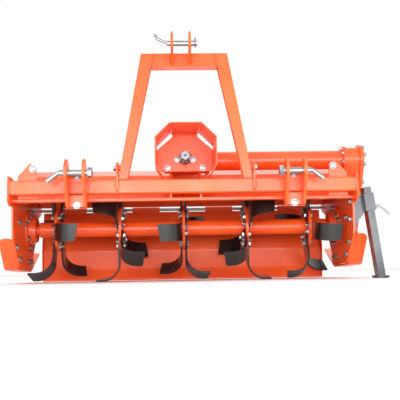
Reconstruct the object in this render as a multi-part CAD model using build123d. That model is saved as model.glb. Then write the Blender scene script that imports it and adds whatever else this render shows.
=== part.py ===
from build123d import *
import os
from math import atan2, cos, degrees, pi, radians, sin, sqrt, tan

# Tractor mounted rotavator. Millimetres, +Z up, +X towards the drive case, +Y to the rear.
# While it is drawn, the origin lies on the ground under the middle of the rotor.
# At the end everything moves so that the origin is the middle of the footprint.

# Ground and rotor
axis_height = 210.0          # rotor axis above the ground
tip_radius = 210.0           # rotor axis to the outside of a blade tip
flange_count = 5
flange_pitch = 250.0
flange_radius = 88.0
flange_thickness = 10.0
rotor_tube_radius = 30.5
rotor_tube_wall = 6.0
blade_pairs = 3              # blades each way on a flange
blade_thickness = 7.0
blade_width = 66.0
blade_bend_radius = 66.0
blade_reach = 105.0          # flange middle to the end of a blade
blade_root_radius = 42.0
blade_start = 36.0           # angle of the first blade as the machine stands
blade_lead = 31.0            # each flange is turned by this angle against the last one

# Frame
end_room = 7.0               # half a flange pitch less this, from the last flange to a side plate
inner_width = flange_count * flange_pitch - 2 * end_room
plate_thickness = 6.0
tube_size = 50.0
tube_wall = 4.0
tube_front = -359.0
tube_bottom = 105.0          # heights below are measured from the rotor axis
hood_thickness = 4.0
hood_bend = 14.0
hood_nose = tube_front + tube_size - 4
hood_front_z = 90.0          # a slot stays open between the hood and the tube
lip_depth = 38.0
lip_thickness = 5.0

clamp_x = 563.0              # middle of a clamp plate from the middle of the machine
clamp_width = 70.0
clamp_rise = 70.0
clamp_thickness = 8.0

# Hitch
hitch_x = 6.0
pin_spread = 770.0           # between the middles of the lower pins
lower_pin_y = -420.0
lower_pin_z = 172.0
lower_pin_radius = 11.0
mast_height = 458.0          # lower pins to the top link pin
top_pin_radius = 9.5
clevis_gap = 52.0
clevis_plate = 10.0
mast_foot_half = 240.0
mast_head_half = 156.0
mast_head_drop = 17.0        # top link pin down to the top of the mast
mast_channel = 46.0
mast_channel_foot = 32.0
mast_wall = 5.0
top_ear_gap = 54.0
top_ear_plate = 9.0
pin_clearance = 0.25

# Drive
shaft_z = 246.0
shaft_tip_y = -320.0
shaft_radius = 17.45
shaft_root_radius = 14.8
spline_count = 6
spline_length = 78.0
cross_y = -165.0
gearbox_front = -235.0
mount_plate = 7.0
mount_slot = 14.0            # open slots between the plate and the shield
gearbox_depth = 112.0
gearbox_height = 101.0
gearbox_width = 126.0
cross_tube_radius = 36.0
housing_flange = 52.0
case_thickness = 68.0
case_head_radius = 56.0
case_tail_radius = 82.0
case_cover = 10.0
case_rim = 8.0
case_lip = 9.0
case_hub = 30.0
running_clearance = 0.1
stub_radius = 20.0

# Flap
hinge_y = 258.0
hinge_z = 98.0
hinge_rod_radius = 7.0
knuckle_radius = 11.5
flap_end_gap = 13.0
flap_thickness = 4.0
flap_cheek = 15.0
flap_hem = 5.0
flap_ground_gap = 3.0

# Skids and stand
skid_width = 52.0
skid_thickness = 6.0
skid_corner = 20.0
skid_tab = 6.0
stand_y = -265.0             # middle of the leg
stand_splay = 7.6
stand_foot_out = 95.0        # side plate to the middle of the foot
leg_width = 26.0
leg_depth = 50.0
leg_wall = 4.0
leg_length = 330.0
sleeve_wall = 5.0
bracket_plate = 6.0
lock_radius = 6.0
sleeve_play = 0.4
sleeve_length = 64.0
sleeve_foot_gap = 250.0      # foot pad to the bottom of the sleeve
foot_radius = 32.0
foot_thickness = 8.0

half_inner = inner_width / 2
half_outer = half_inner + plate_thickness
stand_foot_x = half_outer + stand_foot_out
tube_top = tube_bottom + tube_size
tube_rear = tube_front + tube_size
top_pin_z = lower_pin_z + mast_height
mast_head_z = top_pin_z - mast_head_drop
flap_half = half_inner - flap_end_gap
nodes = {}


def yz_slab(points, low_x, high_x):
    """A flat outline in Y and Z, as thick as from low_x to high_x."""
    face = Plane.YZ.offset(low_x) * make_face(Polyline(*points, close=True))
    return extrude(face, amount=high_x - low_x)


def xz_slab(points, low_y, high_y):
    """A flat outline in X and Z, as thick as from low_y to high_y."""
    face = Plane.XZ.offset(-high_y) * make_face(Polyline(*points, close=True))
    return extrude(face, amount=high_y - low_y)


def yz_sheet(points, thickness, bend, low_x, high_x):
    """A folded sheet whose middle line runs through the points."""
    line = FilletPolyline(*points, radius=bend)
    face = Plane.YZ.offset(low_x) * trace(line, thickness)
    return extrude(face, amount=high_x - low_x)


def x_rod(radius, low_x, high_x, y, z):
    return Pos((low_x + high_x) / 2, y, z) * Rot(0, 90, 0) * Cylinder(radius, high_x - low_x)


def y_rod(radius, low_y, high_y, x, z):
    return Pos(x, (low_y + high_y) / 2, z) * Rot(90, 0, 0) * Cylinder(radius, high_y - low_y)


def block(low_x, high_x, low_y, high_y, low_z, high_z):
    middle = ((low_x + high_x) / 2, (low_y + high_y) / 2, (low_z + high_z) / 2)
    return Pos(*middle) * Box(high_x - low_x, high_y - low_y, high_z - low_z)


# Main tube
tube = block(-half_inner, half_inner, tube_front, tube_rear, tube_bottom, tube_top)
tube = fillet(tube.edges().filter_by(Axis.X), 5)
bore = block(
    -half_inner, half_inner, tube_front + tube_wall, tube_rear - tube_wall,
    tube_bottom + tube_wall, tube_top - tube_wall,
)
tube_hollow = tube - bore
nodes["main_tube"] = [tube_hollow]

# Hood
hood_line = [
    (hood_nose, hood_front_z),
    (-214, hood_front_z),
    (-106, 200),
    (60, 241),
    (180, 170),
    (hinge_y - 14, hinge_z + 12),
]
hood = yz_sheet(hood_line, hood_thickness, hood_bend, -half_inner, half_inner)
nodes["hood"] = [hood]
lip = block(
    -half_inner, half_inner, hood_nose, hood_nose + lip_depth,
    hood_front_z - hood_thickness / 2 - lip_thickness, hood_front_z - hood_thickness / 2,
)
nodes["hood_lip"] = [lip]

# Clamp plates behind the ends of the tube, which carry the hood
clamps = []
clamp_face = tube_rear
clamp_foot = hood_front_z + hood_thickness / 2
for side in (-1, 1):
    near = clamp_x - clamp_width / 2
    far = clamp_x + clamp_width / 2
    outline = [
        (near, clamp_foot), (far, clamp_foot), (far, tube_top + clamp_rise - 48),
        (near + 26, tube_top + clamp_rise), (near + 2, tube_top + clamp_rise - 35),
    ]
    outline = [(side * x, z) for x, z in outline]
    clamps.append(xz_slab(outline, clamp_face, clamp_face + clamp_thickness))
nodes["tube_clamps"] = clamps

# Side plates
plate_outline = [
    (tube_front - 2, tube_top + 16), (tube_rear + 8, tube_top + 16), (-224, 112),
    (-114, 214), (63, 257), (190, 184), (hinge_y + 16, hinge_z + 8), (hinge_y + 12, hinge_z - 16),
    (185, 57), (146, 15), (146, -36), (86, -107), (76, -158),
    (-168, -150), (-288, -46), (-292, 68), (-342, 68), (tube_front - 7, 88),
]


def side_plate(side):
    low_x = half_inner if side > 0 else -half_outer
    plate = yz_slab(plate_outline, low_x, low_x + plate_thickness)
    plate -= x_rod(stub_radius + 8, low_x - 1, low_x + plate_thickness + 1, 0, 0)
    plate -= x_rod(hinge_rod_radius + running_clearance, low_x - 1, low_x + 20, hinge_y, hinge_z)
    if side > 0:
        plate -= x_rod(housing_flange + 1, low_x - 1, low_x + 20, cross_y, shaft_z)
    return plate


nodes["side_plate_left"] = [side_plate(-1)]
nodes["side_plate_right"] = [side_plate(1)]

# Skids
skid_line = [(-268, -46), (-166, -155), (75, -163), (258, -88)]


def skid(side):
    low_x = half_outer if side > 0 else -half_outer - skid_width
    strip = yz_sheet(skid_line, skid_thickness, 40, low_x, low_x + skid_width)
    tab_x = half_outer if side > 0 else -half_outer - skid_tab
    front_tab = [(-250, -64), (-166, -155), (-120, -156), (-120, -100), (-200, -50)]
    rear_tab = [(-20, -160), (60, -162), (60, -104), (-20, -100)]
    top_corners = [
        edge for edge in strip.edges()
        if edge.center().Z > skid_line[0][1] - 6 and edge.length < skid_thickness + 1
    ]
    strip = fillet(top_corners, skid_corner)
    for outline in (front_tab, rear_tab):
        strip += yz_slab(outline, tab_x, tab_x + skid_tab)
    return [strip]


nodes["skid_left"] = skid(-1)
nodes["skid_right"] = skid(1)

# Mast
mast_front = tube_front + 2
mast_rear = mast_front + tube_size - 4


def mast_leg(side):
    foot = hitch_x + side * mast_foot_half
    head = hitch_x + side * mast_head_half
    inner_foot = foot - side * mast_channel_foot
    inner_head = head - side * mast_channel
    flange = [(foot, tube_top), (head, mast_head_z), (inner_head, mast_head_z), (inner_foot, tube_top)]
    web = [
        (foot, tube_top), (head, mast_head_z),
        (head - side * mast_wall, mast_head_z), (foot - side * mast_wall, tube_top),
    ]
    leg = xz_slab(flange, mast_front, mast_front + mast_wall)
    leg += xz_slab(flange, mast_rear - mast_wall, mast_rear)
    leg += xz_slab(web, mast_front, mast_rear)
    return leg


nodes["mast_leg_left"] = [mast_leg(-1)]
nodes["mast_leg_right"] = [mast_leg(1)]
slope = (mast_foot_half - mast_head_half) / (mast_head_z - tube_top)
beam_half = mast_head_half - mast_channel
beam_low = mast_head_z - tube_size
beam = xz_slab(
    [
        (hitch_x - beam_half, mast_head_z), (hitch_x + beam_half, mast_head_z),
        (hitch_x + beam_half + 9, beam_low), (hitch_x - beam_half - 9, beam_low),
    ],
    mast_front, mast_rear,
)
beam -= xz_slab(
    [
        (hitch_x - beam_half - 20, mast_head_z - mast_wall),
        (hitch_x + beam_half + 20, mast_head_z - mast_wall),
        (hitch_x + beam_half + 20, beam_low + mast_wall),
        (hitch_x - beam_half - 20, beam_low + mast_wall),
    ],
    mast_front + mast_wall, mast_rear - mast_wall,
)
nodes["mast_beam"] = [beam]

# Lugs that hook the mast to the tube
lug_outline = [
    (tube_rear, tube_top + 62), (mast_front, tube_top + 62), (tube_front - 8, tube_top + 20),
    (tube_front - 8, tube_bottom + 14), (tube_front, tube_bottom + 4), (tube_front, tube_top),
    (tube_rear, tube_top),
]
lugs = []
for side in (-1, 1):
    low_x = hitch_x + side * (mast_foot_half + 4) - 4
    lug = yz_slab(lug_outline, low_x, low_x + 8)
    bolt_z = tube_top + 44
    leg_face = hitch_x + side * (mast_foot_half - slope * 44)
    near = min(leg_face, low_x + 4)
    far = max(leg_face, low_x + 4)
    lug += x_rod(12, near + 1, far, mast_front + 22, bolt_z) if side < 0 else \
        x_rod(12, near, far - 1, mast_front + 22, bolt_z)
    lug -= mast_leg(side)
    lugs.append(lug)
nodes["mast_lugs"] = lugs

# Top link ears and pin
ear_outline = [
    (mast_front, top_pin_z - 58), (mast_front, top_pin_z - 18), (lower_pin_y + 26, top_pin_z + 40),
    (lower_pin_y + 6, top_pin_z + 46), (lower_pin_y - 18, top_pin_z + 30),
    (lower_pin_y - 20, top_pin_z - 14), (mast_front - 12, top_pin_z - 60),
]
ears = []
for side in (-1, 1):
    low_x = hitch_x - 12 + side * (top_ear_gap + top_ear_plate) / 2 - top_ear_plate / 2
    ear = yz_slab(ear_outline, low_x, low_x + top_ear_plate)
    ear -= x_rod(top_pin_radius + pin_clearance, low_x - 1, low_x + 20, lower_pin_y, top_pin_z)
    ears.append(ear)
nodes["top_link_ears"] = ears
ear_mid = hitch_x - 12
pin_low = ear_mid - top_ear_gap / 2 - top_ear_plate - 12
pin_high = ear_mid + top_ear_gap / 2 + top_ear_plate + 22
top_pin = x_rod(top_pin_radius, pin_low, pin_high, lower_pin_y, top_pin_z)
handle_path = FilletPolyline(
    (pin_low + 2, lower_pin_y, top_pin_z), (pin_low - 34, lower_pin_y, top_pin_z + 16),
    (pin_low - 44, lower_pin_y, top_pin_z + 32), radius=8,
)
handle = sweep(Plane(handle_path @ 0, z_dir=handle_path % 0) * Circle(5), path=handle_path)
nodes["top_link_pin"] = [top_pin + handle]

# Lower hitch brackets
bracket_outline = [
    (-447, 158), (-446, 194), (-420, 220), (-392, 214), (-368, 190), (tube_rear, 186),
    (tube_rear, tube_top), (tube_front, tube_top), (tube_front, tube_bottom),
    (hood_nose - 6, tube_bottom), (hood_nose - 6, 84), (-334, 76), (-368, 52), (-392, 60), (-425, 118),
]
for name, side in (("left", -1), ("right", 1)):
    middle = hitch_x + side * pin_spread / 2
    cheeks = []
    for way in (-1, 1):
        low_x = middle + way * (clevis_gap + clevis_plate) / 2 - clevis_plate / 2
        cheek = yz_slab(bracket_outline, low_x, low_x + clevis_plate)
        cheek -= x_rod(lower_pin_radius + pin_clearance, low_x - 1, low_x + 20, lower_pin_y, lower_pin_z)
        cheeks.append(cheek)
    gap_low = middle - clevis_gap / 2
    gap_high = middle + clevis_gap / 2
    cross = block(gap_low, gap_high, tube_front - 8, tube_front, tube_top - 10, 190)
    cross += block(gap_low, gap_high, tube_front - 8, tube_front, 58, tube_bottom - 6)
    bracket = cheeks[0] + cheeks[1] + cross
    nodes["hitch_bracket_" + name] = [bracket]
    out = middle + side * (clevis_gap / 2 + clevis_plate + 16)
    end = middle - side * (clevis_gap / 2 + clevis_plate + 24)
    pin = x_rod(lower_pin_radius, min(out, end), max(out, end), lower_pin_y, lower_pin_z)
    grip_path = FilletPolyline(
        (out - side * 3, lower_pin_y, lower_pin_z), (out + side * 6, lower_pin_y, lower_pin_z),
        (out + side * 44, lower_pin_y - 4, lower_pin_z - 30), radius=7,
    )
    grip = sweep(Plane(grip_path @ 0, z_dir=grip_path % 0) * Circle(8), path=grip_path)
    nodes["hitch_pin_" + name] = [pin + grip]

# Gearbox, its carrier and front plate
carrier_outline = [
    (tube_rear, clamp_foot), (-236, clamp_foot), (-126, 198), (-228, 198), (-300, tube_top - 5),
    (tube_rear, tube_top - 5),
]
carrier = []
for side in (-1, 1):
    low_x = hitch_x + side * (gearbox_width / 2 - 8) - 4
    carrier.append(yz_slab(carrier_outline, low_x, low_x + 8))
nodes["gearbox_carrier"] = carrier
gearbox_low = 198.0
case_front = gearbox_front + mount_plate
case_rear = case_front + gearbox_depth
gearbox = block(
    hitch_x - gearbox_width / 2, hitch_x + gearbox_width / 2, case_front, case_rear,
    gearbox_low, gearbox_low + gearbox_height,
)
gearbox = fillet(gearbox.edges().filter_by(Axis.Y), 22)
gearbox = chamfer(gearbox.faces().sort_by(Axis.Y)[-1].edges(), 7)
gearbox += x_rod(46, hitch_x - gearbox_width / 2 - 14, hitch_x, cross_y, shaft_z)
gearbox += x_rod(46, hitch_x, hitch_x + gearbox_width / 2 + 14, cross_y, shaft_z)
gearbox += y_rod(36, case_rear - 1, case_rear + 7, hitch_x, shaft_z)
for side in (-1, 1):
    rib_x = hitch_x + side * 30
    gearbox += block(rib_x - 3, rib_x + 3, case_front + 12, case_rear - 12, gearbox_low + gearbox_height - 6,
                     gearbox_low + gearbox_height + 7)
gearbox += Pos(hitch_x, cross_y, gearbox_low + gearbox_height + 3) * Cylinder(14, 10)
shaft_seat = case_front + 30
gearbox -= y_rod(shaft_radius + 4, case_front - 1, case_front + 14, hitch_x, shaft_z)
gearbox -= y_rod(shaft_radius + running_clearance, case_front, shaft_seat, hitch_x, shaft_z)
nodes["gearbox"] = [gearbox]

shield_half = 106.5
shield_points = [
    (hitch_x - 84, shaft_z - 84), (hitch_x - shield_half, shaft_z - 50),
    (hitch_x - shield_half, shaft_z + 46), (hitch_x - 55, shaft_z + 96),
    (hitch_x + 55, shaft_z + 96), (hitch_x + shield_half, shaft_z + 46),
    (hitch_x + shield_half, shaft_z - 50), (hitch_x + 84, shaft_z - 84),
]
half_mount = [
    (shield_half, gearbox_low), (shield_half, shaft_z + 46 - mount_slot),
    (55 - mount_slot / 2, shaft_z + 96 - mount_slot), (55 - mount_slot / 2, shaft_z + 96),
]
mount_points = [(hitch_x - x, z) for x, z in half_mount] + [(hitch_x + x, z) for x, z in half_mount[::-1]]
mount = xz_slab(mount_points, gearbox_front, gearbox_front + mount_plate)
mount -= y_rod(shaft_radius + 12, gearbox_front - 1, gearbox_front + 20, hitch_x, shaft_z)
nodes["gearbox_mount"] = [mount]

shield_front = -440.0
shield_line = FilletPolyline(*shield_points, radius=6)
shield_face = Plane.XZ.offset(-gearbox_front) * trace(shield_line, 3)
shield = extrude(shield_face, amount=gearbox_front - shield_front)
aside = 2 * shield_half
shield -= block(-aside, aside, gearbox_front - 66, gearbox_front + 1, tube_bottom, shaft_z - 46)
shield -= block(-aside, aside, tube_front, gearbox_front + 1, tube_bottom, tube_top + 4)
nodes["pto_shield"] = [shield]

# Cross shaft housing and side case
housing_start = hitch_x + gearbox_width / 2 + 14
housing = x_rod(cross_tube_radius, housing_start, half_outer, cross_y, shaft_z)
housing -= x_rod(cross_tube_radius - 6, housing_start, half_outer + 1, cross_y, shaft_z)
housing += x_rod(housing_flange, housing_start, housing_start + 12, cross_y, shaft_z) - \
    x_rod(cross_tube_radius - 6, housing_start - 1, housing_start + 13, cross_y, shaft_z)
housing += x_rod(housing_flange, half_outer - 12, half_outer, cross_y, shaft_z) - \
    x_rod(cross_tube_radius - 6, half_outer - 13, half_outer + 1, cross_y, shaft_z)
nodes["cross_housing"] = [housing]

reach = sqrt(cross_y ** 2 + shaft_z ** 2)
lean = atan2(shaft_z, cross_y)
open_angle = atan2(case_tail_radius - case_head_radius, reach)


def case_outline(inset):
    """The belt shaped outline round both shafts, drawn in by an inset."""
    head = case_head_radius - inset
    tail = case_tail_radius - inset
    corners = []
    for way, middle_y, middle_z, radius in (
        (1, cross_y, shaft_z, head), (1, 0, 0, tail), (-1, 0, 0, tail), (-1, cross_y, shaft_z, head),
    ):
        turn = lean + way * (pi / 2 - open_angle)
        corners.append((middle_y + radius * cos(turn), middle_z + radius * sin(turn)))
    belt = Pos(cross_y, shaft_z) * Circle(head) + Circle(tail)
    return belt + make_face(Polyline(*corners, close=True))


def case_layer(inset, low, high):
    return extrude(Plane.YZ.offset(half_outer + low) * case_outline(inset), amount=high - low)


rim_start = case_thickness - case_cover - case_rim
case = case_layer(case_lip, 0, rim_start + 1)
case += case_layer(0, rim_start, rim_start + case_rim)
case += case_layer(1.5, rim_start + case_rim - 1, case_thickness - 4)
case += case_layer(case_lip + 6, case_thickness - 5, case_thickness)
case -= x_rod(stub_radius + 6, half_outer - 1, half_outer + 34, 0, 0)
case += x_rod(case_hub, half_outer + case_thickness - 1, half_outer + case_thickness + 5, 0, 0)
nodes["drive_case"] = [case]

# Rotor bearings
for name, side in (("left", -1), ("right", 1)):
    face = side * half_inner
    hub_profile = [
        (0, stub_radius + running_clearance), (0, 84), (8, 84), (8, 58), (34, 48),
        (34, stub_radius + running_clearance),
    ]
    hub_face = make_face(Polyline(*[(face - side * a, b) for a, b in hub_profile], close=True))
    hub = revolve(Plane.XY * hub_face, axis=Axis.X, revolution_arc=360)
    nodes["bearing_" + name] = [hub]
cap = x_rod(52, -half_outer - 22, -half_outer, 0, 0)
cap = chamfer(cap.faces().sort_by(Axis.X)[0].edges(), 6)
cap -= x_rod(stub_radius + 4, -half_outer - 14, -half_outer + 1, 0, 0)
nodes["bearing_cap"] = [cap]

# Rotor
rotor_end = (flange_count - 1) / 2 * flange_pitch + 72
rotor = x_rod(rotor_tube_radius, -rotor_end, rotor_end, 0, 0)
rotor -= x_rod(rotor_tube_radius - rotor_tube_wall, -rotor_end + 20, rotor_end - 20, 0, 0)
rotor += x_rod(stub_radius, -half_outer - 8, -rotor_end, 0, 0)
rotor += x_rod(stub_radius, rotor_end, half_outer + 28, 0, 0)
nodes["rotor_tube"] = [rotor]
flanges = []
for index in range(flange_count):
    x = (index - (flange_count - 1) / 2) * flange_pitch
    flange = x_rod(flange_radius, x - flange_thickness / 2, x + flange_thickness / 2, 0, 0)
    flange -= x_rod(rotor_tube_radius, x - flange_thickness, x + flange_thickness, 0, 0)
    flanges.append(flange)
nodes["rotor_flanges"] = flanges


def blade(side):
    """One blade, standing up from the rotor axis and curving sideways."""
    start = flange_thickness / 2 + blade_thickness / 2
    crown = tip_radius - blade_thickness / 2 - 2.7
    line = FilletPolyline(
        (side * start, blade_root_radius), (side * start, crown), (side * blade_reach, crown),
        radius=blade_bend_radius,
    )
    ribbon = extrude(Plane.XZ.offset(-blade_width / 2) * trace(line, blade_thickness), blade_width)
    plan = [
        (-24, 0), (24, 0), (24, 80), (33, 108), (33, tip_radius + 5),
        (-33, tip_radius + 5), (-33, 120), (-24, 90),
    ]
    ribbon &= yz_slab(plan, -blade_reach - 10, blade_reach + 10)
    far = blade_reach + 2
    bevel = [(far - 22, -blade_width), (far + 9, -blade_width), (far + 9, blade_width), (far, blade_width)]
    bevel = [(side * x, y) for x, y in bevel]
    cutter = extrude(make_face(Polyline(*bevel, close=True)), tip_radius + 20)
    ribbon -= cutter
    return ribbon


blade_shapes = {1: blade(1), -1: blade(-1)}
blades = []
for index in range(flange_count):
    x = (index - (flange_count - 1) / 2) * flange_pitch
    for turn in range(2 * blade_pairs):
        side = 1 if turn % 2 else -1
        angle = blade_start + turn * 180 / blade_pairs + index * blade_lead
        blades.append(Pos(x, 0, 0) * Rot(angle, 0, 0) * blade_shapes[side])
nodes["tines"] = blades

# Input shaft
spline = Circle(shaft_radius)
for index in range(spline_count):
    gap = Rot(0, 0, index * 360 / spline_count) * Pos(shaft_radius, 0) * \
        Rectangle(2 * (shaft_radius - shaft_root_radius), 9.0)
    spline -= gap
shaft = extrude(Plane.XZ.offset(-shaft_tip_y) * Pos(hitch_x, shaft_z) * spline, -spline_length)
groove = y_rod(shaft_radius + 1, shaft_tip_y + 35, shaft_tip_y + 43, hitch_x, shaft_z)
shaft -= groove - y_rod(shaft_root_radius - 0.4, shaft_tip_y, shaft_tip_y + 60, hitch_x, shaft_z)
nose = Pos(hitch_x, shaft_tip_y + 1, shaft_z) * Rot(90, 0, 0) * Cone(
    shaft_radius + 1, shaft_radius - 1.5, 2.5)
nose_space = y_rod(shaft_radius + 2, shaft_tip_y - 1, shaft_tip_y + 2.25, hitch_x, shaft_z)
shaft -= nose_space - nose
shaft += y_rod(shaft_radius, shaft_tip_y + spline_length, shaft_seat - 1, hitch_x, shaft_z)
nodes["pto_shaft"] = [shaft]

# Rear flap and its hinge
rod = x_rod(hinge_rod_radius, -half_outer - 6, half_outer + 6, hinge_y, hinge_z)
nodes["hinge_rod"] = [rod]
flap_bottom = -axis_height + flap_ground_gap
flap_line = [(hinge_y, hinge_z - knuckle_radius + 1), (224, -82), (231, -160), (244, flap_bottom)]
flap = yz_sheet(flap_line, flap_thickness, 16, -flap_half, flap_half)
hem_y, hem_z = flap_line[-1]
flap += x_rod(flap_hem, -flap_half, flap_half, hem_y + 1, hem_z + flap_hem - 1)
cheek = [(y + 1, z) for y, z in flap_line[1:]]
cheek = [(flap_line[1][0] + 6, 40)] + cheek
cheek += [(y - flap_cheek, z) for y, z in reversed(flap_line[1:])]
for side in (-1, 1):
    cheek_low = -flap_half if side < 0 else flap_half - flap_thickness
    flap += yz_slab(cheek, cheek_low, cheek_low + flap_thickness)
knuckle_places = [-480, -160, 160, 480]
for x in knuckle_places:
    flap += x_rod(knuckle_radius, x - 60, x + 60, hinge_y, hinge_z)
flap -= x_rod(hinge_rod_radius + running_clearance, -half_inner, half_inner, hinge_y, hinge_z)
tab_places = [-320, 0, 320]
tab_eye = 10.5
for x in tab_places:
    flap -= x_rod(tab_eye + 6, x - 10, x + 10, hinge_y, hinge_z)
nodes["rear_flap"] = [flap]
tabs = []
tab_outline = [
    (hinge_y - 34, hinge_z + 34), (hinge_y - 26, hinge_z + 36), (hinge_y + 3, hinge_z + 9),
    (hinge_y - 6, hinge_z - 8), (hinge_y - 28, hinge_z + 10),
]
for x in tab_places:
    tab = yz_slab(tab_outline, x - 4, x + 4) + x_rod(tab_eye, x - 4, x + 4, hinge_y, hinge_z)
    tab -= x_rod(hinge_rod_radius, x - 10, x + 10, hinge_y, hinge_z)
    tab -= hood
    tabs += [piece for piece in tab.solids() if piece.volume > 500]
nodes["hinge_tabs"] = tabs

# Parking stand, drawn upright and then splayed about its foot
splay = Pos(stand_foot_x, stand_y, -axis_height) * Rot(0, -stand_splay, 0)
leg = Pos(0, 0, foot_thickness + leg_length / 2) * (
    Box(leg_width, leg_depth, leg_length)
    - Pos(0, 0, -leg_wall) * Box(leg_width - 2 * leg_wall, leg_depth - 2 * leg_wall, leg_length)
)
leg = splay * leg
pad = Pos(stand_foot_x, stand_y, -axis_height + foot_thickness / 2 + 2) * Cylinder(foot_radius, foot_thickness)
pad += Pos(stand_foot_x, stand_y, -axis_height + 1) * Cylinder(foot_radius - 6, 2)
nodes["stand_leg"] = [leg + pad]
sleeve_low = sleeve_foot_gap
sleeve = Pos(0, 0, sleeve_low + sleeve_length / 2) * (
    Box(leg_width + 2 * sleeve_play + 2 * sleeve_wall, leg_depth + 2 * sleeve_play + 2 * sleeve_wall,
        sleeve_length)
    - Box(leg_width + 2 * sleeve_play, leg_depth + 2 * sleeve_play, sleeve_length)
)
sleeve -= x_rod(lock_radius + 0.1, 0, 60, 0, sleeve_low + 14)
sleeve = splay * sleeve
web_root = half_outer + bracket_plate


def sleeve_face(height):
    """X of the inner face of the sleeve at a height above the rotor axis."""
    lean_back = tan(radians(stand_splay)) * (height + axis_height)
    return stand_foot_x - lean_back - (leg_width / 2 + sleeve_play + sleeve_wall) / cos(radians(stand_splay))


sleeve_bottom = -axis_height + sleeve_low * cos(radians(stand_splay)) + 1
sleeve_top = sleeve_bottom + sleeve_length - 3
web_low = sleeve_face(sleeve_bottom) + sleeve_wall / 2
web_high = sleeve_face(sleeve_top) + sleeve_wall / 2
web_span = web_low - web_root
web_outline = [
    (web_root, sleeve_top - 8), (web_root + web_span / 2, sleeve_top + 2), (web_high, sleeve_top),
    (web_low, sleeve_bottom), (web_root + web_span * 0.78, sleeve_bottom - 18),
    (web_root + web_span * 0.5, sleeve_bottom - 26), (web_root + web_span * 0.24, sleeve_bottom - 44),
    (web_root, sleeve_bottom - 70),
]
web = xz_slab(web_outline, stand_y - bracket_plate / 2, stand_y + bracket_plate / 2)
foot_plate = block(
    half_outer, web_root, stand_y - 22, stand_y + 25, sleeve_bottom - 72, sleeve_top - 5,
)
nodes["stand_bracket"] = [sleeve + web + foot_plate]
lock = splay * x_rod(lock_radius, leg_width / 2 + sleeve_play, leg_width / 2 + sleeve_wall + 18, 0, sleeve_low + 14)
lock_path = FilletPolyline(
    (leg_width / 2 + sleeve_wall + 14, 0, sleeve_low + 14),
    (leg_width / 2 + sleeve_wall + 24, 0, sleeve_low + 14),
    (leg_width / 2 + sleeve_wall + 56, 0, sleeve_low - 22), radius=5,
)
lock_bar = splay * sweep(Plane(lock_path @ 0, z_dir=lock_path % 0) * Circle(3), path=lock_path)
nodes["stand_pin"] = [lock + lock_bar]

# Place the origin and write the nodes
boxes = [solid.bounding_box() for solids in nodes.values() for solid in solids]
low = [min(tuple(box.min)[axis] for box in boxes) for axis in range(3)]
high = [max(tuple(box.max)[axis] for box in boxes) for axis in range(3)]
shift = (-(low[0] + high[0]) / 2, -(low[1] + high[1]) / 2, -low[2])
os.makedirs("parts", exist_ok=True)
for name, solids in nodes.items():
    moved = [Pos(*shift) * piece for solid in solids for piece in solid.solids()]
    shape = moved[0] if len(moved) == 1 else Compound(moved)
    if not export_step(shape, os.path.join("parts", name + ".step")):
        raise SystemExit("not written: " + name)
print("origin shift", [round(value, 3) for value in shift])
print("size", [round(high[axis] - low[axis], 1) for axis in range(3)])
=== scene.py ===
import bpy
import bmesh
from math import acos, atan2, cos, hypot, radians, sin, sqrt, tau
from mathutils import Matrix, Vector


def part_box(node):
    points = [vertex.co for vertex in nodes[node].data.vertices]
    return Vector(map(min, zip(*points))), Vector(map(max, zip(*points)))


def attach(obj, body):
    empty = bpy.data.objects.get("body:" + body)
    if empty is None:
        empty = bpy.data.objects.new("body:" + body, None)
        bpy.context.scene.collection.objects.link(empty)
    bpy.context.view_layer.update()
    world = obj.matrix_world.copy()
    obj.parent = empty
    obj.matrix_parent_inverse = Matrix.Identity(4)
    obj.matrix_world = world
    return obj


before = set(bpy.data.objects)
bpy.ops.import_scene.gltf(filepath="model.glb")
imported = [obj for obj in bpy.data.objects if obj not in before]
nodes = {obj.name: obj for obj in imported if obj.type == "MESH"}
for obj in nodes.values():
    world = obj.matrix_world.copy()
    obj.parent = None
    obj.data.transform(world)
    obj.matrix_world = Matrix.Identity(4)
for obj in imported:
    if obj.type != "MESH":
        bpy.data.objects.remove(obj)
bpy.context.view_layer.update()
scene = bpy.context.scene

# Places below are in millimetres from the middle of the rotor axis, as in a shop drawing
lowCorner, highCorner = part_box("rotor_flanges")
rotorMiddle = (lowCorner + highCorner) / 2
toScene = Matrix.Translation(rotorMiddle) @ Matrix.Scale(0.001, 4)


def nodeSpan(name):
    low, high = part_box(name)
    return (low - rotorMiddle) * 1000, (high - rotorMiddle) * 1000


print("frame loaded, rotor axis at", [round(value, 4) for value in rotorMiddle])


# Materials

def linear(hexColour):  # sRGB hex to the linear colour that a shader socket takes
    values = [int(hexColour[i:i + 2], 16) / 255 for i in (1, 3, 5)]
    return [v / 12.92 if v <= 0.04045 else ((v + 0.055) / 1.055) ** 2.4 for v in values] + [1]


def addNode(tree, kind, inputs={}, **settings):
    node = tree.nodes.new(kind)
    for key, value in settings.items():
        setattr(node, key, value)
    for key, value in inputs.items():
        if isinstance(value, bpy.types.NodeSocket):
            tree.links.new(value, node.inputs[key])
        else:
            node.inputs[key].default_value = value
    return node


def newMaterial(name):
    material = bpy.data.materials.new(name)
    material.use_nodes = True
    material.node_tree.nodes.clear()
    return material, material.node_tree


def finishMaterial(tree, surface):
    addNode(tree, "ShaderNodeOutputMaterial", {"Surface": surface})


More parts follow.
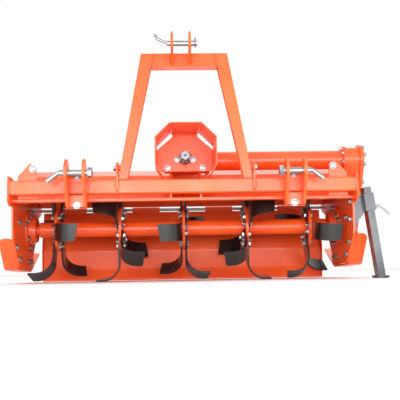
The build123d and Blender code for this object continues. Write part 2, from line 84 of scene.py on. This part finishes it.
def sprayedPaint(name, settings):  # even colour, fine orange peel, rounded over edges; patches along the edges take the edge colour, which is a painted highlight on the orange and slate paints and bare steel on the black blades
    material, tree = newMaterial(name)
    place = addNode(tree, "ShaderNodeTexCoord").outputs["Object"]
    cloud = addNode(tree, "ShaderNodeTexNoise", {"Vector": place, "Scale": 5.0, "Detail": 4.0})
    shade = addNode(tree, "ShaderNodeMapRange", {
        "Value": cloud.outputs["Fac"], "From Min": 0.35, "From Max": 0.68})
    body = addNode(tree, "ShaderNodeMix", {
        "Factor": shade.outputs["Result"], 6: linear(settings["deep"]), 7: linear(settings["light"])},
        data_type="RGBA")
    rounded = addNode(tree, "ShaderNodeBevel", {"Radius": settings["edge"]}, samples=6)
    flat = addNode(tree, "ShaderNodeNewGeometry")
    meet = addNode(tree, "ShaderNodeVectorMath", {
        0: rounded.outputs["Normal"], 1: flat.outputs["Normal"]}, operation="DOT_PRODUCT")
    # Along the edges, broken into patches by noise, the colour goes towards the edge colour: a painted
    # highlight on the orange and slate paints, bare steel showing through on the blades
    edge = addNode(tree, "ShaderNodeMapRange", {
        "Value": meet.outputs["Value"], "From Min": 0.985, "From Max": 0.84, "To Max": settings["edgeSheenAndWearAmount"]})
    edgePatchNoise = addNode(tree, "ShaderNodeTexNoise", {"Vector": place, "Scale": 170.0, "Detail": 3.0})
    edgeSheenAndWearPatches = addNode(tree, "ShaderNodeMapRange", {
        "Value": edgePatchNoise.outputs["Fac"], "From Min": 0.42, "From Max": 0.6})
    edgeSheenAndWearMask = addNode(tree, "ShaderNodeMath", {
        0: edge.outputs["Result"], 1: edgeSheenAndWearPatches.outputs["Result"]}, operation="MULTIPLY")
    colour = addNode(tree, "ShaderNodeMix", {
        "Factor": edgeSheenAndWearMask.outputs["Value"], 6: body.outputs[2], 7: linear(settings["under"])},
        data_type="RGBA")
    smudge = addNode(tree, "ShaderNodeTexNoise", {"Vector": place, "Scale": 14.0, "Detail": 6.0})
    rough = addNode(tree, "ShaderNodeMapRange", {
        "Value": smudge.outputs["Fac"], "From Min": 0.3, "From Max": 0.7,
        "To Min": settings["rough"] - 0.05, "To Max": settings["rough"] + 0.09})
    peel = addNode(tree, "ShaderNodeTexNoise", {
        "Vector": place, "Scale": settings["peelScale"], "Detail": 2.0})
    bump = addNode(tree, "ShaderNodeBump", {
        "Strength": settings["peel"], "Distance": 0.0006, "Height": peel.outputs["Fac"],
        "Normal": rounded.outputs["Normal"]})
    shader = addNode(tree, "ShaderNodeBsdfPrincipled", {
        "Base Color": colour.outputs[2], "Roughness": rough.outputs["Result"],
        "Coat Weight": settings["coat"], "Coat Roughness": 0.12, "Normal": bump.outputs["Normal"]})
    finishMaterial(tree, shader.outputs["BSDF"])
    return material


def bareMetal(name, settings):  # soft metallic sheen with cloudy patches and a fine grain
    material, tree = newMaterial(name)
    place = addNode(tree, "ShaderNodeTexCoord").outputs["Object"]
    cloud = addNode(tree, "ShaderNodeTexNoise", {"Vector": place, "Scale": 90.0, "Detail": 5.0})
    body = addNode(tree, "ShaderNodeMix", {
        "Factor": cloud.outputs["Fac"], 6: linear(settings["deep"]), 7: linear(settings["light"])},
        data_type="RGBA")
    rough = addNode(tree, "ShaderNodeMapRange", {
        "Value": cloud.outputs["Fac"], "From Min": 0.3, "From Max": 0.7,
        "To Min": settings["rough"] - 0.06, "To Max": settings["rough"] + 0.1})
    rounded = addNode(tree, "ShaderNodeBevel", {"Radius": 0.0006}, samples=4)
    grain = addNode(tree, "ShaderNodeTexNoise", {"Vector": place, "Scale": 900.0, "Detail": 2.0})
    bump = addNode(tree, "ShaderNodeBump", {
        "Strength": 0.12, "Distance": 0.0003, "Height": grain.outputs["Fac"],
        "Normal": rounded.outputs["Normal"]})
    shader = addNode(tree, "ShaderNodeBsdfPrincipled", {
        "Base Color": body.outputs[2], "Metallic": 1.0, "Roughness": rough.outputs["Result"],
        "Normal": bump.outputs["Normal"]})
    finishMaterial(tree, shader.outputs["BSDF"])
    return material


# Powder coat on cut and folded plate: bright, even and glossy, with an orange peel of 2 to 3 mm; its pale
# orange edge colour is a painted highlight
orangePaint = sprayedPaint("powderCoatedSteelPlate", {
    "deep": "#EE521A", "light": "#F85F1E", "under": "#FF9C62", "edge": 0.0016, "edgeSheenAndWearAmount": 0.5,
    "rough": 0.33, "peel": 0.1, "peelScale": 420.0, "coat": 0.1})
# The same coat over sand cast iron: the 4 mm pitting of the mould shows through it; its pale orange edge
# colour is a painted highlight
castPaint = sprayedPaint("powderCoatedCastIron", {
    "deep": "#E64C1A", "light": "#F0581E", "under": "#F8925A", "edge": 0.003, "edgeSheenAndWearAmount": 0.4,
    "rough": 0.34, "peel": 0.5, "peelScale": 260.0, "coat": 0.25})
# The same coat over weld beads: lumpy, so the light breaks up on it; its pale orange edge colour is a painted
# highlight
weldPaint = sprayedPaint("powderCoatedWeld", {
    "deep": "#E44A18", "light": "#EF561C", "under": "#F8925A", "edge": 0.0005, "edgeSheenAndWearAmount": 0.2,
    "rough": 0.3, "peel": 0.45, "peelScale": 340.0, "coat": 0.3})
# Black stoving paint on forged spring steel: nearly black, a cool sheen, forging scale under it
bladePaint = sprayedPaint("blackStovedSpringSteel", {
    "deep": "#0E0E10", "light": "#17171A", "under": "#77757A", "edge": 0.0018, "edgeSheenAndWearAmount": 0.8,
    "rough": 0.33, "peel": 0.3, "peelScale": 230.0, "coat": 0.45})
# Slate grey gloss paint on drawn tube; its pale grey edge colour is a painted highlight
slatePaint = sprayedPaint("slateGlossPaintedTube", {
    "deep": "#2C3038", "light": "#383D46", "under": "#949BA4", "edge": 0.0014, "edgeSheenAndWearAmount": 0.6,
    "rough": 0.3, "peel": 0.14, "peelScale": 380.0, "coat": 0.35})
# Bright zinc plating on bolts and pins: pale, slightly cloudy
zincPlate = bareMetal("zincPlatedSteel", {"deep": "#85888B", "light": "#B2B5B8", "rough": 0.32})
# Turned and milled shaft steel, lightly oiled: darker and sharper than the zinc
turnedSteel = bareMetal("machinedShaftSteel", {"deep": "#5F6164", "light": "#85878A", "rough": 0.28})
# The same steel inside a drilled centre, where little light gets in: dark
drilledSteel = bareMetal("drilledShaftSteel", {"deep": "#2B2C2E", "light": "#3C3D40", "rough": 0.45})

finishes = {
    "tines": bladePaint,
    "stand_leg": slatePaint, "stand_bracket": slatePaint,
    "gearbox": castPaint, "cross_housing": castPaint, "bearing_left": castPaint,
    "bearing_right": castPaint, "bearing_cap": castPaint,
    "top_link_pin": zincPlate, "hitch_pin_left": zincPlate, "hitch_pin_right": zincPlate,
    "stand_pin": zincPlate, "hinge_rod": zincPlate,
    "pto_shaft": turnedSteel,
}
for name, node in nodes.items():
    finish = finishes.get(name, orangePaint)
    if not node.data.materials:
        node.data.materials.append(finish)
    for index in range(len(node.data.materials)):
        node.data.materials[index] = finish
print("materials on", len(nodes), "nodes")


# Making and placing pieces

def finishPiece(name, bm, material, body, crease=32):
    bmesh.ops.recalc_face_normals(bm, faces=bm.faces)
    bmesh.ops.transform(bm, matrix=toScene, verts=bm.verts)
    mesh = bpy.data.meshes.new(name)
    bm.to_mesh(mesh)
    bm.free()
    mesh.materials.append(material)
    for face in mesh.polygons:
        face.use_smooth = True
    mesh.set_sharp_from_angle(angle=radians(crease))
    piece = bpy.data.objects.new(name, mesh)
    scene.collection.objects.link(piece)
    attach(piece, body)
    return piece


# A part drawn standing on z = 0 is set down at a point and points along a direction
def seated(x, y, z, direction, turn=0):
    aim = Vector(direction).to_track_quat("Z", "Y").to_matrix().to_4x4()
    return Matrix.Translation((x, y, z)) @ aim @ Matrix.Rotation(turn, 4, "Z")


def addCopies(bm, template, places):
    for matrix in places:
        before = len(bm.verts)
        bm.from_mesh(template)
        bm.verts.ensure_lookup_table()
        bmesh.ops.transform(bm, matrix=matrix, verts=bm.verts[before:])


def hexTemplate(name, sizes):  # a hexagon head or nut on a washer, with the end of its thread
    bm = bmesh.new()
    level = 0.0
    if sizes["washer"]:
        bmesh.ops.create_cone(
            bm, cap_ends=True, segments=20, radius1=sizes["washer"] / 2, radius2=sizes["washer"] / 2,
            depth=2, matrix=Matrix.Translation((0, 0, 1)))
        level = 2.0
    made = bmesh.ops.create_cone(
        bm, cap_ends=True, segments=6, radius1=sizes["flats"] / sqrt(3), radius2=sizes["flats"] / sqrt(3),
        depth=sizes["height"], matrix=Matrix.Translation((0, 0, level + sizes["height"] / 2)))
    top = level + sizes["height"]
    rim = [e for v in made["verts"] for e in v.link_edges if all(abs(w.co.z - top) < 0.01 for w in e.verts)]
    bmesh.ops.bevel(
        bm, geom=list(set(rim)), offset=sizes["flats"] * 0.07, segments=2, profile=0.5, affect="EDGES",
        material=-1)
    if sizes["thread"]:
        bmesh.ops.create_cone(
            bm, cap_ends=True, segments=14, radius1=sizes["flats"] * 0.31, radius2=sizes["flats"] * 0.26,
            depth=sizes["thread"], matrix=Matrix.Translation((0, 0, top + sizes["thread"] / 2 - 0.2)))
    mesh = bpy.data.meshes.new(name)
    bm.to_mesh(mesh)
    bm.free()
    return mesh


# A round rod along a path; a ripple swells every second ring, as in a weld bead
def addRod(bm, path, radius, sides=10, ripple=0.0, closed=False):
    points = [Vector(point) for point in path]
    ring = None
    first = None
    total = len(points)
    for index, point in enumerate(points):
        ahead = points[(index + 1) % total] if closed or index < total - 1 else point
        behind = points[index - 1] if closed or index > 0 else point
        aim = (ahead - behind).to_track_quat("Z", "Y").to_matrix().to_4x4()
        size = radius * (1 + ripple * (index % 2))
        if index in (0, total - 1) and not closed and ripple:
            size = radius * 0.4
        made = bmesh.ops.create_circle(
            bm, cap_ends=False, segments=sides, radius=size, matrix=Matrix.Translation(point) @ aim)
        edges = list({e for v in made["verts"] for e in v.link_edges})
        if ring:
            bmesh.ops.bridge_loops(bm, edges=ring + edges)
        elif not closed:
            bmesh.ops.contextual_create(bm, geom=edges)
        if first is None:
            first = edges
        ring = edges
    if closed:
        bmesh.ops.bridge_loops(bm, edges=ring + first)
    else:
        bmesh.ops.contextual_create(bm, geom=ring)


def between(start, end, step):
    start, end = Vector(start), Vector(end)
    count = max(2, round((end - start).length / step))
    return [start.lerp(end, index / count) for index in range(count + 1)]


def ringPath(middle, radius, across, count, start=0.0, sweep=tau):  # round the X, Y or Z axis
    path = []
    for index in range(count):
        a = start + sweep * index / (count if sweep == tau else count - 1)
        u, v = radius * cos(a), radius * sin(a)
        offset = {"X": (0, u, v), "Y": (u, 0, v), "Z": (u, v, 0)}[across]
        path.append(Vector(middle) + Vector(offset))
    return path


# Bolts of the rotor
rotorBolts = {"flats": 19, "height": 8.5, "washer": 0, "thread": 5}
flangeCount, flangePitch, flangeHalf, bladeThick = 5, 250, 5, 7
bladeAngles = [radians(60 * turn) for turn in range(6)]
bladeStart, bladeLead = radians(36), radians(31)
boltRadius, boltSpread = hypot(66, 14), atan2(14, 66)

bladeHead = hexTemplate("bladeHead", {**rotorBolts, "thread": 0})
bladeNut = hexTemplate("bladeNut", rotorBolts)
bm = bmesh.new()
for flange in range(flangeCount):
    x = (flange - (flangeCount - 1) / 2) * flangePitch
    for turn, angle in enumerate(bladeAngles):
        side = 1 if turn % 2 else -1
        for spread in (-boltSpread, boltSpread):
            a = angle + bladeStart + flange * bladeLead + spread
            y, z = -boltRadius * sin(a), boltRadius * cos(a)
            headFace = x + side * (flangeHalf + bladeThick)
            addCopies(bm, bladeHead, [seated(headFace, y, z, (side, 0, 0), a)])
            addCopies(bm, bladeNut, [seated(x - side * flangeHalf, y, z, (-side, 0, 0), -a)])
finishPiece("rotorBolts", bm, zincPlate, "rotor")

# Welds that hold the flanges on the rotor tube
bm = bmesh.new()
tubeRadius = 30.5
for flange in range(flangeCount):
    x = (flange - (flangeCount - 1) / 2) * flangePitch
    for side in (-1, 1):
        addRod(bm, ringPath((x + side * 6, 0, 0), tubeRadius + 0.5, "X", 56), 3.6, 6, 0.22, True)
finishPiece("rotorWelds", bm, weldPaint, "rotor", 80)
print("rotor bolts and welds made")


# Bolts of the side plates, skids, bearings and drive case
plateBolts = {"flats": 17, "height": 7.5, "washer": 23, "thread": 0}
plateHead = hexTemplate("plateHead", plateBolts)
plateNut = hexTemplate("plateNut", {**plateBolts, "height": 9, "thread": 6})
halfInner, halfOuter = 618, 624
skidBolts = [(-178, -118), (-226, -74), (0, -126), (42, -126)]
standBolts = [(-263, 72), (-255, 8)]
hoodBolts = [(-216, 116), (-78, 20), (-184, 22), (129, 172)]
bearingBolts = {"radius": 71, "count": 6, "face": 8}

bm = bmesh.new()
for side in (-1, 1):
    inner = side * halfInner
    for y, z in skidBolts:
        addCopies(bm, plateHead, [seated(inner, y, z, (-side, 0, 0), 0.4)])
        addCopies(bm, plateNut, [seated(side * (halfOuter + 6), y, z, (side, 0, 0), 0.2)])
    for index in range(bearingBolts["count"]):
        a = radians(30 + 60 * index)
        y, z = bearingBolts["radius"] * cos(a), bearingBolts["radius"] * sin(a)
        addCopies(bm, plateHead, [seated(side * (halfInner - bearingBolts["face"]), y, z, (-side, 0, 0), a)])
        if side < 0:
            addCopies(bm, plateNut, [seated(side * halfOuter, y, z, (side, 0, 0), a)])
    for y, z in hoodBolts:
        addCopies(bm, plateHead, [seated(inner, y, z, (-side, 0, 0), 0.7)])
for y, z in standBolts:
    addCopies(bm, plateHead, [seated(halfInner, y, z, (-1, 0, 0), 0.1)])
    addCopies(bm, plateNut, [seated(halfOuter + 6, y, z, (1, 0, 0), 0.3)])
finishPiece("sideBolts", bm, zincPlate, "frame")

# Screws round the drive case; the plug goes into it and the gearbox further on
caseSizes = {"headY": -165, "headZ": 246, "headRadius": 56, "tailRadius": 82, "inset": 7.5, "face": 688}
screw = hexTemplate("caseScrew", {"flats": 13, "height": 6, "washer": 17, "thread": 0})
plug = hexTemplate("casePlug", {"flats": 22, "height": 9, "washer": 28, "thread": 0})
lean = atan2(caseSizes["headZ"], caseSizes["headY"])
reach = hypot(caseSizes["headZ"], caseSizes["headY"])
openAngle = acos((caseSizes["tailRadius"] - caseSizes["headRadius"]) / reach)
bm = bmesh.new()
headR = caseSizes["headRadius"] - caseSizes["inset"]
tailR = caseSizes["tailRadius"] - caseSizes["inset"]
spots = []
for index in range(5):
    a = lean - openAngle + 2 * openAngle * index / 4
    spots.append((caseSizes["headY"] + headR * cos(a), caseSizes["headZ"] + headR * sin(a)))
for index in range(7):
    a = lean + openAngle + (tau - 2 * openAngle) * index / 6
    spots.append((tailR * cos(a), tailR * sin(a)))
for way in (-1, 1):
    a = lean + way * openAngle
    near = Vector((caseSizes["headY"] + headR * cos(a), caseSizes["headZ"] + headR * sin(a)))
    far = Vector((tailR * cos(a), tailR * sin(a)))
    spots += [tuple(near.lerp(far, part)) for part in (0.25, 0.5, 0.75)]
for y, z in spots:
    addCopies(bm, screw, [seated(caseSizes["face"], y, z, (1, 0, 0), y)])
finishPiece("caseScrews", bm, zincPlate, "frame")
print("side bolts made")


# Hitch: bolts of the brackets, lugs, tube clamps and gearbox plate, and the nuts of the hitch pins
hitchX, pinHalf = 6, 385
hitchSizes = {
    "plateFront": -367, "plateBolts": (168, 64),
    "lugOut": 244, "lugHalf": 4, "lugNutOut": 225, "lugY": -335, "lugZ": 199,
    "clampX": 546, "clampFront": -309, "clampRear": -301, "clampHigh": 204, "clampLow": 122,
    "mountFront": -235, "mountBolts": ((29, 243), (66, 212)),
    "earNut": 45, "pinY": -420, "pinZ": 172,
}
clampBolts = {"flats": 19, "height": 9, "washer": 26, "thread": 0}
clampHead = hexTemplate("clampHead", clampBolts)
clampNut = hexTemplate("clampNut", {**clampBolts, "height": 11, "thread": 8})
pinNut = hexTemplate("pinNut", {"flats": 32, "height": 15, "washer": 0, "thread": 0})
bm = bmesh.new()
for side in (-1, 1):
    middle = hitchX + side * pinHalf
    for z in hitchSizes["plateBolts"]:  # over and under the tube
        addCopies(bm, clampHead, [seated(middle, hitchSizes["plateFront"], z, (0, -1, 0), 0.3)])
    lug = hitchX + side * hitchSizes["lugOut"]
    lugY, lugZ = hitchSizes["lugY"], hitchSizes["lugZ"]
    addCopies(bm, clampHead, [seated(lug + side * hitchSizes["lugHalf"], lugY, lugZ, (side, 0, 0), 0.2)])
    addCopies(bm, clampNut, [seated(hitchX + side * hitchSizes["lugNutOut"], lugY, lugZ, (-side, 0, 0), 0.2)])
    clampX = side * hitchSizes["clampX"]
    addCopies(bm, clampHead, [
        seated(clampX, hitchSizes["clampFront"], hitchSizes["clampHigh"], (0, -1, 0), 0.5)])
    addCopies(bm, clampNut, [
        seated(clampX, hitchSizes["clampRear"], hitchSizes["clampHigh"], (0, 1, 0), 0.5),
        seated(clampX, hitchSizes["clampRear"], hitchSizes["clampLow"], (0, 1, 0), 0.9)])
    for (out, z), turn in zip(hitchSizes["mountBolts"], (0.2, 0.6)):
        addCopies(bm, plateHead, [seated(hitchX + side * out, hitchSizes["mountFront"], z, (0, -1, 0), turn)])
    nutX = middle - side * hitchSizes["earNut"]
    addCopies(bm, pinNut, [seated(nutX, hitchSizes["pinY"], hitchSizes["pinZ"], (-side, 0, 0), 0.2)])
finishPiece("hitchBolts", bm, zincPlate, "frame")

# Spring pin through the end of the top link pin
springPin = {"rod": 3.2, "below": 15, "above": 19, "ring": 13, "wire": 1.8}
bm = bmesh.new()
pinX, pinY, pinZ = nodeSpan("top_link_pin")[1].x - 7, -420, 630
addRod(bm, between((pinX, pinY, pinZ - springPin["below"]), (pinX, pinY, pinZ + springPin["above"]), 4),
       springPin["rod"], 12)
addRod(bm, ringPath((pinX, pinY - 2, pinZ + 4), springPin["ring"], "X", 28), springPin["wire"], 8, 0, True)
finishPiece("springPin", bm, zincPlate, "frame")
print("hitch details made")


# Gearbox, cross housing and case: cover screws, oil plugs, breather, grease nipples
driveSizes = {
    "crossY": -165, "shaftZ": 246, "leftCover": -71, "rearCover": -109, "rearWall": -116, "boss": 307,
    "flangeLow": 95, "flangeHigh": 612, "caseCover": 692, "hub": 697, "cap": -646,
    "leftCircle": 37, "rearCircle": 28, "flangeCircle": 44,
}
coverScrew = hexTemplate("coverScrew", {"flats": 10, "height": 5, "washer": 0, "thread": 0})
nippleBase = hexTemplate("nippleBase", {"flats": 9, "height": 4, "washer": 0, "thread": 10})
breather = hexTemplate("breather", {"flats": 19, "height": 8, "washer": 24, "thread": 9})


def boltCircle(bm, template, middle, radius, across, count, direction, start=0.3):
    places = [seated(*point, direction, index) for index, point in
              enumerate(ringPath(middle, radius, across, count, start))]
    addCopies(bm, template, places)


crossY, shaftZ = driveSizes["crossY"], driveSizes["shaftZ"]
bm = bmesh.new()
boltCircle(bm, coverScrew, (driveSizes["leftCover"], crossY, shaftZ),
           driveSizes["leftCircle"], "X", 6, (-1, 0, 0))
boltCircle(bm, coverScrew, (hitchX, driveSizes["rearCover"], shaftZ),
           driveSizes["rearCircle"], "Y", 6, (0, 1, 0))
for face, way in (("flangeLow", 1), ("flangeHigh", -1)):
    boltCircle(bm, coverScrew, (driveSizes[face], crossY, shaftZ),
               driveSizes["flangeCircle"], "X", 8, (way, 0, 0))
addCopies(bm, breather, [seated(hitchX, crossY, driveSizes["boss"], (0, 0, 1))])
addCopies(bm, plug, [
    seated(hitchX - 36, driveSizes["rearWall"], 214, (0, 1, 0), 0.3),
    seated(driveSizes["caseCover"], crossY + 4, shaftZ + 12, (1, 0, 0), 0.2),
    seated(driveSizes["caseCover"], -98, 128, (1, 0, 0), 0.5),
    seated(driveSizes["caseCover"], 18, -44, (1, 0, 0), 0.8)])
addCopies(bm, nippleBase, [
    seated(driveSizes["cap"], 0, 0, (-1, 0, 0)), seated(driveSizes["hub"], 0, 0, (1, 0, 0))])
finishPiece("driveFittings", bm, zincPlate, "frame")

# The turning centre left in the end of the input shaft
bm = bmesh.new()
centre = {"mouth": 4.2, "bottom": 3.2, "depth": 0.8, "y": -320.2}
bmesh.ops.create_cone(
    bm, cap_ends=True, segments=20, radius1=centre["mouth"], radius2=centre["bottom"],
    depth=centre["depth"], matrix=seated(hitchX, centre["y"], shaftZ, (0, -1, 0)))
finishPiece("shaftCentre", bm, drilledSteel, "input_shaft")

# Washers and split pins on the ends of the flap's hinge rod
rodEnd = {"y": 258, "z": 98, "washer": 13, "pin": 1.7, "reach": 12}
bm = bmesh.new()
for side in (-1, 1):
    bmesh.ops.create_cone(bm, cap_ends=True, segments=24, radius1=rodEnd["washer"], radius2=rodEnd["washer"],
                          depth=2, matrix=seated(side * 625, rodEnd["y"], rodEnd["z"], (side, 0, 0)))
    addRod(bm, between((side * 628, rodEnd["y"], rodEnd["z"] - rodEnd["reach"]),
                       (side * 628, rodEnd["y"], rodEnd["z"] + rodEnd["reach"]), 4), rodEnd["pin"], 8)
finishPiece("hingeRodPins", bm, zincPlate, "frame")
print("drive fittings made")


# Welds of the frame
bead = {"radius": 3.4, "step": 3.2, "ripple": 0.2}


def addBead(bm, start, end, radius=None):
    addRod(bm, between(start, end, bead["step"]), radius or bead["radius"], 6, bead["ripple"])


bm = bmesh.new()
tubeFront, tubeRear, tubeLow, tubeHigh = -359, -309, 105, 155
for side in (-1, 1):
    end = side * halfInner
    addBead(bm, (end, tubeFront, tubeLow + 4), (end, tubeFront, tubeHigh - 4))
    addBead(bm, (end, tubeFront + 4, tubeHigh), (end, tubeRear - 4, tubeHigh))
    addBead(bm, (end, tubeFront + 4, tubeLow), (end, tubeRear - 4, tubeLow))
    middle = hitchX + side * pinHalf
    for way in (-1, 1):
        face = middle + way * 36
        addBead(bm, (face, tubeFront, tubeLow + 3), (face, tubeFront, tubeHigh - 3))
        addBead(bm, (face, tubeFront + 3, tubeHigh), (face, tubeRear - 3, tubeHigh))
    for way in (-1, 1):
        lugX = hitchX + side * 244 + way * 4
        addBead(bm, (lugX, tubeFront, 120), (lugX, tubeFront, tubeHigh - 2))
    foot = hitchX + side * 240
    addBead(bm, (foot, tubeFront + 2, tubeHigh), (foot - side * 32, tubeFront + 2, tubeHigh))
    head = hitchX + side * 110
    addBead(bm, (head, tubeFront + 2, 611), (head + side * 8.5, tubeFront + 2, 565))
    for way in (-1, 1):
        earX = -6 + way * 36
        addBead(bm, (earX, tubeFront + 2, 612), (earX, tubeFront + 2, 574))
for side in (-1, 1):
    addBead(bm, (side * 528, -309, 92), (side * 598, -309, 92), 3)
    addBead(bm, (side * 528, -309, 158), (side * 598, -309, 158), 3)
    for y, z in [(-250, 92), (-292, 92)]:
        addBead(bm, (hitchX + side * 51, y, z), (hitchX + side * 51, y + 36, z), 3)
shieldHalf = 104
for side in (-1, 1):
    addBead(bm, (hitchX + side * shieldHalf, -238, 204), (hitchX + side * shieldHalf, -238, 272), 3)
addBead(bm, (hitchX - 42, -238, 339), (hitchX + 42, -238, 339), 3)
finishPiece("frameWelds", bm, weldPaint, "frame", 80)

# Doubling bands inside the hood, which bolt it to the side plates
bandSizes = {"width": 46, "thickness": 2.5, "gap": 2, "bend": 16}
hoodLine = [(-270, 90), (-214, 90), (-106, 200), (60, 241), (180, 170), (236, 118)]
for side, name in ((-1, "hoodBandLeft"), (1, "hoodBandRight")):
    bm = bmesh.new()
    chain = [bm.verts.new((side * (halfInner - bandSizes["width"]), y, z)) for y, z in hoodLine]
    edges = [bm.edges.new(pair) for pair in zip(chain, chain[1:])]
    made = bmesh.ops.extrude_edge_only(bm, edges=edges)
    grown = [v for v in made["geom"] if isinstance(v, bmesh.types.BMVert)]
    bmesh.ops.translate(bm, verts=grown, vec=(side * (bandSizes["width"] - 1), 0, 0))
    folds = [e for e in bm.edges if len(e.link_faces) == 2]
    bmesh.ops.bevel(bm, geom=folds, offset=bandSizes["bend"] * 0.45, segments=5, profile=0.5,
                    affect="EDGES", material=-1)
    bmesh.ops.recalc_face_normals(bm, faces=bm.faces)
    if sum(face.normal.z for face in bm.faces) > 0:
        bmesh.ops.reverse_faces(bm, faces=bm.faces)
    bm.normal_update()
    for vert in bm.verts:
        vert.co += vert.normal * bandSizes["gap"]
    bmesh.ops.solidify(bm, geom=bm.faces, thickness=-bandSizes["thickness"])
    finishPiece(name, bm, orangePaint, "frame")
print("welds and hood bands made")


# Floor, light and camera
floorSizes = {"width": 60}
bm = bmesh.new()
bmesh.ops.create_grid(bm, x_segments=1, y_segments=1, size=floorSizes["width"] / 2)
mesh = bpy.data.meshes.new("studioFloor")
bm.to_mesh(mesh)
bm.free()
floorMaterial, tree = newMaterial("paleStudioFloor")
spot = addNode(tree, "ShaderNodeTexCoord").outputs["Object"]
grain = addNode(tree, "ShaderNodeTexNoise", {"Vector": spot, "Scale": 1.5, "Detail": 3.0})
paper = addNode(tree, "ShaderNodeMix", {
    "Factor": grain.outputs["Fac"], 6: linear("#FAFAF9"), 7: linear("#FDFDFD")}, data_type="RGBA")
shader = addNode(tree, "ShaderNodeBsdfPrincipled", {"Base Color": paper.outputs[2], "Roughness": 0.85})
finishMaterial(tree, shader.outputs["BSDF"])
mesh.materials.append(floorMaterial)
floor = bpy.data.objects.new("studioFloor", mesh)
scene.collection.objects.link(floor)

world = bpy.data.worlds.new("studioWorld")
scene.world = world
world.use_nodes = True
tree = world.node_tree
tree.nodes.clear()
rays = addNode(tree, "ShaderNodeLightPath")
soft = addNode(tree, "ShaderNodeBackground", {"Color": linear("#FBFAF8"), "Strength": 1.0})
white = addNode(tree, "ShaderNodeBackground", {"Color": linear("#FFFFFF"), "Strength": 1.0})
mixed = addNode(tree, "ShaderNodeMixShader", {
    0: rays.outputs["Is Camera Ray"], 1: soft.outputs["Background"], 2: white.outputs["Background"]})
addNode(tree, "ShaderNodeOutputWorld", {"Surface": mixed.outputs["Shader"]})

lampSettings = [
    {"name": "frontBox", "place": (0.0, -3.4, 0.45), "size": 3.8, "height": 0.8, "power": 88},
    {"name": "keyBox", "place": (-1.9, -2.6, 2.7), "size": 2.0, "height": 2.0, "power": 30},
    {"name": "sideBox", "place": (2.6, -1.8, 1.6), "size": 1.8, "height": 1.8, "power": 18},
    {"name": "rearBox", "place": (0.4, 2.8, 2.6), "size": 2.6, "height": 1.6, "power": 16},
]
for lamp in lampSettings:
    light = bpy.data.lights.new(lamp["name"], "AREA")
    light.shape = "RECTANGLE"
    light.size = lamp["size"]
    light.size_y = lamp["height"]
    light.energy = lamp["power"]
    holder = bpy.data.objects.new(lamp["name"], light)
    holder.location = lamp["place"]
    holder.rotation_euler = (Vector((0, 0, 0.35)) - Vector(lamp["place"])).to_track_quat("-Z", "Y").to_euler()
    holder.visible_camera = False
    scene.collection.objects.link(holder)

# The camera stands at floor level and looks slightly up, as the photograph does
view = {"x": -0.085, "y": -2.80, "z": 0.04, "pitch": 5.6, "yaw": 2.17, "roll": -1.0, "focal": 715.5}
cameraData = bpy.data.cameras.new("photoCamera")
cameraData.sensor_width = 36
cameraData.sensor_fit = "HORIZONTAL"
cameraData.lens = 36 * view["focal"] / 400
camera = bpy.data.objects.new("photoCamera", cameraData)
yaw = Matrix.Rotation(radians(-view["yaw"]), 4, "Z")
pitch = Matrix.Rotation(radians(90 + view["pitch"]), 4, "X")
turned = yaw @ pitch @ Matrix.Rotation(radians(view["roll"]), 4, "Z")
camera.matrix_world = Matrix.Translation((view["x"], view["y"], view["z"])) @ turned
scene.collection.objects.link(camera)
scene.camera = camera
scene.view_settings.view_transform = "Standard"
print("stage, lamps and camera set")
